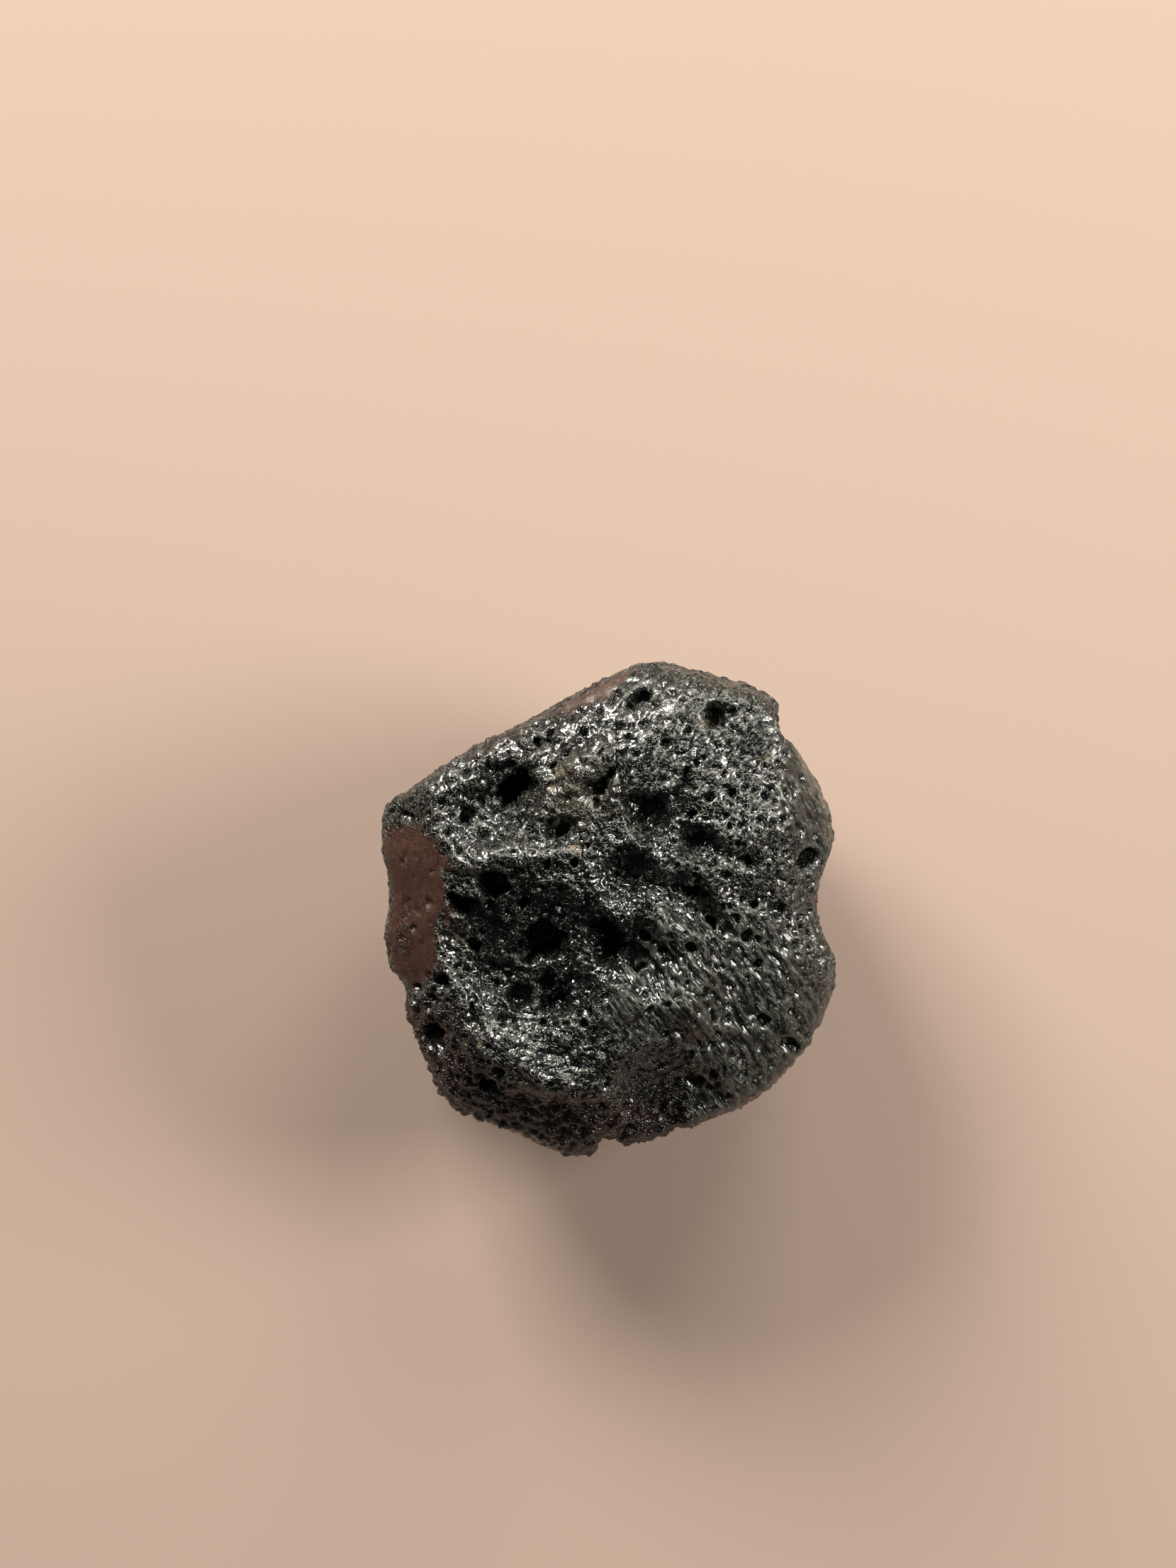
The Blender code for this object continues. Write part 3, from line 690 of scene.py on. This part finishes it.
def etched_lump(directions, quads):
    """Skin points of the lump with everything that its solid has, as part of the same shape."""
    points = broken_lump(directions)
    points = points + skin_normals(points, quads) * swells(points)[:, None]
    for chip in CHIPS:
        points = chipped(points, chip)
    points = hollowed(points)
    uneven = PIT_UNEVENNESS * noise(points, PIT_UNEVENNESS_SIZE, SEEDS["pit_rims"])
    for x, y, radius, depth in TOP_PITS:
        seat = top_seat(points, x, y)
        points = pitted(points, skin_normals(points, quads)[seat], uneven, seat, radius, depth)
    for azimuth, elevation, radius, depth in FLANK_SCOOPS:
        seat = seat_along(points, heading(azimuth, elevation))
        axis = skin_normals(points, quads)[seat]
        points = pitted(points, axis, uneven, seat, radius, depth, SCOOP_STEEPNESS)
    for direction, radius, depth in flank_pits():
        seat = seat_along(points, direction)
        points = pitted(points, skin_normals(points, quads)[seat], uneven, seat, radius, depth)
    return points


def zone(x, y, ovals):
    """Share from 0 to 1 of a kind of skin at plan points: 1 inside its ovals, fading out at their rims."""
    spent = np.min([spent_share(x, y, feature) for feature in ovals], axis=0)
    return smooth_step(1.0, 1.0 - ZONE_FADE, spent)


def skin_kinds(points, normals):
    """Share of each kind of skin at each point. The shares add up to 1."""
    x, y = bent_plan(as_seen(points), ZONE_BENDS, SEEDS["zone_bends"])
    upper = smooth_step(*ZONE_HEIGHTS, points[:, 2])
    rise = normals[:, 2]
    kinds = {}
    left = np.ones(len(points))
    zones = [
        ("bare", BARE),
        ("broken", BROKEN),
        ("banded", BANDED),
        ("lumpy", LUMPY),
        ("knobbed", KNOBBED),
        ("streaked", STREAKED),
    ]
    for name, ovals in zones:
        kinds[name] = left * zone(x, y, ovals) * upper
        if name == "bare":
            leaning = smooth_step(*BARE_LEAST_RISE, rise) * (1 - smooth_step(*BARE_MOST_RISE, rise))
            kinds[name] = kinds[name] * leaning
        left = left - kinds[name]
    kinds["etched"] = left
    return kinds


def soil_share(points):
    """How much dry soil covers each point: patchy spots around a few places that the photograph shows."""
    seen = as_seen(points)
    first = SEEDS["soil"]
    patchy = sum(share * noise(points, size, first + n) for n, (size, share) in enumerate(SOIL_PATCHES))
    cover = np.zeros(len(points))
    for x, y, radius, strength in SOIL:
        near = np.maximum(1 - np.hypot(seen[:, 0] - x, seen[:, 1] - y) / radius, 0)
        cover = np.maximum(cover, strength * smooth_step(*SOIL_EDGE, (0.5 + patchy) * near))
    return cover


def knobs(points, size, seed):
    """Scattered round knobs from 0 to 1 high: bowls turned over, each as high as its spot's own number."""
    near, own = scattered(points, size, seed)
    return np.maximum(1 - (near / KNOB_REACH) ** 2, 0) * own


def bubble_pits(points, cell, smallest, spread, seed):
    """Depth of scattered round pits: a dish is cut out where a spot lies within its radius of the skin."""
    near, own = scattered(points, cell, seed)
    radius = smallest + spread * own**2
    return radius * np.maximum(1 - (near * cell / radius) ** 2, 0) ** BUBBLE_STEEPNESS


def streaks(points):
    """Fine grooves that run across the skin at one heading: noise that is stretched along it."""
    bend_size, stray = STREAK_BENDS
    bends = stray * noise(points, bend_size, SEEDS["streak_bends"])
    along = points @ heading(STREAK_HEADING, 0)
    across = points @ heading(STREAK_HEADING + 90, 0) + bends
    drawn = np.column_stack([along / STREAK_STRETCH, across, points[:, 2] / STREAK_STRETCH])
    first = SEEDS["streaks"]
    return sum(share * noise(drawn, width, first + n) for n, (width, share) in enumerate(STREAK_WIDTHS))


def crests(points):
    """Winding crests: 1 on their lines, falling away as each size of noise leaves its middle value."""
    first = SEEDS["crests"]
    return 1 - sum(lift * np.abs(noise(points, size, first + n)) for n, (size, lift) in enumerate(CRESTS))


def fine_relief(points, kinds):
    """How far the fine knobs, pits, crests and streaks lift each point off the lump."""
    patterns = [
        knobs(points, SMALL_KNOB, SEEDS["small_knobs"]),
        knobs(points, LARGE_KNOB, SEEDS["large_knobs"]),
        -BUBBLE_DEPTH * bubble_pits(points, *BUBBLES, SEEDS["bubbles"]),
        -PINHOLE_DEPTH * bubble_pits(points, *PINHOLES, SEEDS["pinholes"]),
        crests(points),
        streaks(points),
    ]
    return sum(
        share * strength * pattern
        for name, share in kinds.items()
        for strength, pattern in zip(RELIEF[name], patterns)
    )


def finely_pitted(points, normals):
    """Points after the small pits that the photograph shows are sunk into the top."""
    uneven = PIT_UNEVENNESS * noise(points, SMALL_PIT_UNEVENNESS_SIZE, SEEDS["small_pit_rims"])
    for x, y, radius in SMALL_PITS:
        seat = top_seat(as_seen(points), x, y)
        points = pitted(points, normals[seat], uneven, seat, radius, SMALL_PIT_DEPTH * radius)
    return points


def smoothed(points, quads, rounds):
    """Points drawn to the mean of the quads around them, a number of times."""
    corners = quads.reshape(-1)
    count = np.bincount(corners, minlength=len(points))[:, None]
    for _ in range(rounds):
        middles = np.repeat(points[quads].mean(axis=1), 4, axis=0)
        total = [np.bincount(corners, middles[:, axis], len(points)) for axis in range(3)]
        points = np.stack(total, axis=-1) / count
    return points


def crest_share(points, quads):
    """How much each point stands out of the skin around it: 1 on a crest or a knob, 0 in a pit."""
    even = smoothed(points, quads, CREST_ROUNDS)
    over = ((points - even) * skin_normals(even, quads)).sum(axis=1)
    return smooth_step(CREST_FOOT, CREST_TOP, over)


def fitted(points):
    """Points scaled along each axis, by a hair, to the solid's box, with the foot cut flat at z = 0."""
    low = points.min(axis=0)
    high = points.max(axis=0)
    low[2] = 0.0
    centre = (low + high) / 2
    centre[2] = 0.0
    points = (points - centre) * (HIGH - LOW) / (high - low)
    points[:, :2] += (LOW[:2] + HIGH[:2]) / 2
    points[:, 2] = np.maximum(points[:, 2], 0)
    return points


def finished_stone():
    """Skin points of the finished stone, the quads between them, and what colours the skin at each point."""
    directions, quads = cube_sphere(CELLS)
    directions = unit(directions + np.array([0, 0, LIFT]))
    points = etched_lump(directions, quads)
    normals = skin_normals(points, quads)
    points = finely_pitted(points, normals)
    kinds = skin_kinds(points, normals)
    points = points + skin_normals(points, quads) * fine_relief(points, kinds)[:, None]
    # The frost is partly painted highlight on the crests, and the brown is painted reflection
    cover = {
        "frost_and_highlight": sum(FROST_AND_HIGHLIGHT_SHARE[name] * share for name, share in kinds.items()) * crest_share(points, quads),
        "painted_reflection": sum(PAINTED_REFLECTION_SHARE.get(name, 0) * share for name, share in kinds.items()),
        "streaked": kinds["streaked"],
        "soil": soil_share(points),
    }
    return fitted(points), quads, cover


def srgb_to_linear(code):
    """Linear colour of an sRGB hex code, by the curve that the sRGB standard gives."""
    channels = [int(code[i : i + 2], 16) / 255 for i in (1, 3, 5)]
    linear = [c / 12.92 if c <= 0.04045 else ((c + 0.055) / 1.055) ** 2.4 for c in channels]
    return (*linear, 1.0)


def add_node(tree, kind, inputs=(), **settings):
    """A new node with its settings. An input's value is a number, a colour, or the output that feeds it."""
    made = tree.nodes.new(kind)
    for name, value in settings.items():
        setattr(made, name, value)
    for socket, value in dict(inputs).items():
        if isinstance(value, bpy.types.NodeSocket):
            tree.links.new(value, made.inputs[socket])
        else:
            made.inputs[socket].default_value = value
    return made


def new_material(name):
    """A node material with only its output."""
    material = bpy.data.materials.new(name)
    material.use_nodes = True
    material.node_tree.nodes.clear()
    return material, material.node_tree


def thin_lines(tree, pattern, half_width):
    """Thin winding lines, 1 on the line: where a noise pattern passes through its middle value."""
    off = add_node(tree, "ShaderNodeMath", {0: pattern, 1: NOISE_MIDDLE}, operation="SUBTRACT")
    far = add_node(tree, "ShaderNodeMath", {0: off.outputs[0]}, operation="ABSOLUTE")
    line = add_node(
        tree,
        "ShaderNodeMapRange",
        {"Value": far.outputs[0], "From Min": 0.0, "From Max": half_width, "To Min": 1.0, "To Max": 0.0},
        interpolation_type="SMOOTHSTEP",
    )
    return line.outputs[0]


def tektite_glass():
    """Tektite glass, quenched from a melt and then etched in the ground.

    The eye gets a glossy near-black with hard glints in the pits, a grey satin frost on the etched crests,
    which is partly painted highlight where they catch light, and a duller brown where a broken face is bare,
    which is painted reflection of warm surroundings.
    """
    material, tree = new_material("tektite_glass")
    place = add_node(tree, "ShaderNodeTexCoord").outputs["Object"]
    share = {}
    for name in ("frost_and_highlight", "painted_reflection", "streaked", "soil"):
        share[name] = add_node(tree, "ShaderNodeAttribute", attribute_name=name).outputs["Fac"]

    # Winding crest lines of the etched skin, drawn out into scratches where it is streaked. Their frost grey
    # is partly painted highlight where crests and scratches catch light.
    grain = add_node(
        tree,
        "ShaderNodeTexNoise",
        {"Vector": place, "Scale": 1 / (GRAIN_SIZE * MM), "Detail": GRAIN_DETAIL},
    )
    drawn = add_node(
        tree,
        "ShaderNodeMapping",
        {
            "Vector": place,
            "Rotation": (0, 0, math.radians(STREAK_HEADING)),
            "Scale": (SCRATCH_LENGTH * MM, SCRATCH_WIDTH * MM, SCRATCH_LENGTH * MM),
        },
        vector_type="TEXTURE",
    )
    scratches = add_node(
        tree,
        "ShaderNodeTexNoise",
        {"Vector": drawn.outputs[0], "Scale": 1.0, "Detail": GRAIN_DETAIL},
    )
    pattern = add_node(
        tree,
        "ShaderNodeMix",
        {"Factor": share["streaked"], "A": grain.outputs["Fac"], "B": scratches.outputs["Fac"]},
        data_type="FLOAT",
    )
    lines = thin_lines(tree, pattern.outputs["Result"], LINE_HALF_WIDTH)
    between = add_node(
        tree, "ShaderNodeMath", {0: share["streaked"], 1: FROST_AND_HIGHLIGHT_BETWEEN_SCRATCHES}, operation="MULTIPLY"
    )
    frosted_and_highlit = add_node(
        tree, "ShaderNodeMapRange", {"Value": lines, "To Min": between.outputs[0], "To Max": 1.0}
    )
    frost_and_highlight = add_node(
        tree, "ShaderNodeMath", {0: share["frost_and_highlight"], 1: frosted_and_highlit.outputs[0]}, operation="MULTIPLY"
    )

    # Brown on bare glass as painted reflection of warm surroundings, grey-green frost that is partly painted
    # highlight on the crests, and dull soil in the recesses
    colour = srgb_to_linear(GLOSSY_BLACK)
    for cover, code in [
        (share["painted_reflection"], PAINTED_REFLECTION_BROWN),
        (frost_and_highlight.outputs[0], FROST_AND_HIGHLIGHT_GREY),
        (share["soil"], SOIL_TAN),
    ]:
        mix = add_node(
            tree,
            "ShaderNodeMix",
            {"Factor": cover, "A": colour, "B": srgb_to_linear(code)},
            data_type="RGBA",
        )
        colour = mix.outputs["Result"]

    # Pits stay glossy, frost is satin and a bare face is duller
    satin = add_node(
        tree,
        "ShaderNodeMapRange",
        {"Value": share["frost_and_highlight"], "To Min": PIT_ROUGHNESS, "To Max": FROST_ROUGHNESS},
    )
    dull = add_node(
        tree,
        "ShaderNodeMix",
        {"Factor": share["painted_reflection"], "A": satin.outputs[0], "B": BARE_ROUGHNESS},
        data_type="FLOAT",
    )
    dusty = add_node(
        tree,
        "ShaderNodeMix",
        {"Factor": share["soil"], "A": dull.outputs["Result"], "B": SOIL_ROUGHNESS},
        data_type="FLOAT",
    )
    fine = add_node(
        tree, "ShaderNodeMapRange", {"Value": share["painted_reflection"], "To Min": 1.0, "To Max": BARE_BUMP}
    )
    bump = add_node(
        tree,
        "ShaderNodeBump",
        {"Strength": fine.outputs[0], "Distance": GRAIN_HEIGHT * MM, "Height": lines},
    )
    shader = add_node(
        tree,
        "ShaderNodeBsdfPrincipled",
        {
            "Base Color": colour,
            "Roughness": dusty.outputs["Result"],
            "IOR": GLASS_IOR,
            "Normal": bump.outputs[0],
        },
    )
    add_node(tree, "ShaderNodeOutputMaterial", {"Surface": shader.outputs[0]})
    return material


def stone():
    """The tektite as one closed mesh, with what colours its skin kept on its points."""
    points, quads, cover = finished_stone()
    mesh = bpy.data.meshes.new("etched_stone")
    mesh.from_pydata((points * MM).tolist(), [], quads.tolist())
    mesh.polygons.foreach_set("use_smooth", [True] * len(quads))
    for name, share in cover.items():
        mesh.attributes.new(name, "FLOAT", "POINT").data.foreach_set("value", share.astype(np.float32))
    mesh.materials.append(tektite_glass())
    piece = bpy.data.objects.new("etched_stone", mesh)
    bpy.context.scene.collection.objects.link(piece)
    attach(piece, "root")
    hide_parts("tektite_stone")


def matt_painted_board():
    """Board with a matt paint, rolled on: an even pale tone that takes soft shadows and shows no gloss."""
    material, tree = new_material("matt_painted_board")
    shader = add_node(
        tree,
        "ShaderNodeBsdfPrincipled",
        {"Base Color": srgb_to_linear(FLOOR_COLOUR), "Roughness": FLOOR_ROUGHNESS},
    )
    add_node(tree, "ShaderNodeOutputMaterial", {"Surface": shader.outputs[0]})
    return material


def floor():
    """A plain pale floor, wider than any view of the stone."""
    half = FLOOR_HALF * MM
    corners = [(-half, -half, 0), (half, -half, 0), (half, half, 0), (-half, half, 0)]
    mesh = bpy.data.meshes.new("floor")
    mesh.from_pydata(corners, [], [(0, 1, 2, 3)])
    mesh.materials.append(matt_painted_board())
    ground = bpy.data.objects.new("floor", mesh)
    bpy.context.scene.collection.objects.link(ground)


def area_light(name, place, side, watts, colour):
    """A square soft light at a place, turned to the stone. Its place and side are in metres."""
    light = bpy.data.lights.new(name, "AREA")
    light.size = side
    light.energy = watts
    light.color = srgb_to_linear(colour)[:3]
    lamp = bpy.data.objects.new(name, light)
    lamp.location = place
    lamp.rotation_euler = (Vector(MIDDLE * MM) - Vector(place)).to_track_quat("-Z", "Y").to_euler()
    bpy.context.scene.collection.objects.link(lamp)


def studio():
    """Three soft lights beyond the right and upper edges of the stone, and an even, dim room."""
    for name, azimuth, elevation, watts in LIGHTS:
        place = heading(azimuth, elevation) * LIGHT_DISTANCE * MM
        area_light(name, place, LIGHT_SIDE * MM, watts, WARM_WHITE)
    world = bpy.data.worlds.new("room")
    world.use_nodes = True
    background = world.node_tree.nodes["Background"]
    background.inputs["Color"].default_value = srgb_to_linear(PLAIN_WHITE)
    background.inputs["Strength"].default_value = ROOM_LIGHT
    bpy.context.scene.world = world
    bpy.context.scene.view_settings.view_transform = "Standard"


def camera():
    """The photograph's view: straight down, with the photograph's scale and place of the stone."""
    view = bpy.data.cameras.new("photo_view")
    view.sensor_width = SENSOR
    view.lens = SENSOR * (CAMERA_HEIGHT - GIRTH_HEIGHT) * PIXELS_PER_MM / PHOTO_HEIGHT
    view.clip_start = CLIP_START * MM
    seat = bpy.data.objects.new("photo_view", view)
    seat.location = Vector((CAMERA_X, CAMERA_Y, CAMERA_HEIGHT)) * MM
    bpy.context.scene.collection.objects.link(seat)
    bpy.context.scene.camera = seat


stone()
floor()
studio()
camera()
